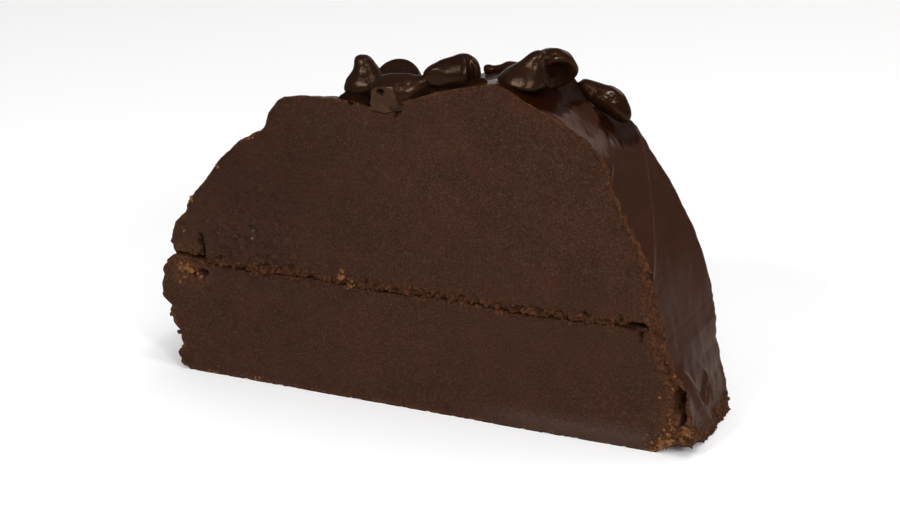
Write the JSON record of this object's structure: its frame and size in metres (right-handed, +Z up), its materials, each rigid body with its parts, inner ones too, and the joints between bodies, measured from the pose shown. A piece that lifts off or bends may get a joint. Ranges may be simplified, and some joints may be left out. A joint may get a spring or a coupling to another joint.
{
  "type": "chocolate fudge slice",
  "caption": "Thick cross-cut slice of a domed loaf of layered chocolate fudge, with a glossy worked skin, a crumbly seam and melted chocolate chips on top.",
  "frame": {"origin": "middle of the bounding box's underside, on the surface that the slice stands on", "axes": "+X along the slice's length, +Y from the front cut to the back cut, +Z up"},
  "size_m": [0.1262, 0.028, 0.0808],
  "materials": {
    "fudge_lower": "matt cut fudge with a fine grain, and a glossy chocolate skin on the outer surface",
    "fudge_upper": "matt cut fudge with a fine grain, and a glossy chocolate skin on the outer surface",
    "chocolate_chip": "satin to glossy melted dark chocolate"
  },
  "bodies": {
    "root": {"fudge_lower_layer": "fudge_lower", "fudge_upper_layer": "fudge_upper", "chip_cut": "chocolate_chip", "chip_left": "chocolate_chip", "chip_flipped": "chocolate_chip", "chip_long": "chocolate_chip", "chip_back": "chocolate_chip", "chip_kiss": "chocolate_chip", "chip_open": "chocolate_chip", "chip_right": "chocolate_chip"}
  },
  "joints": []
}
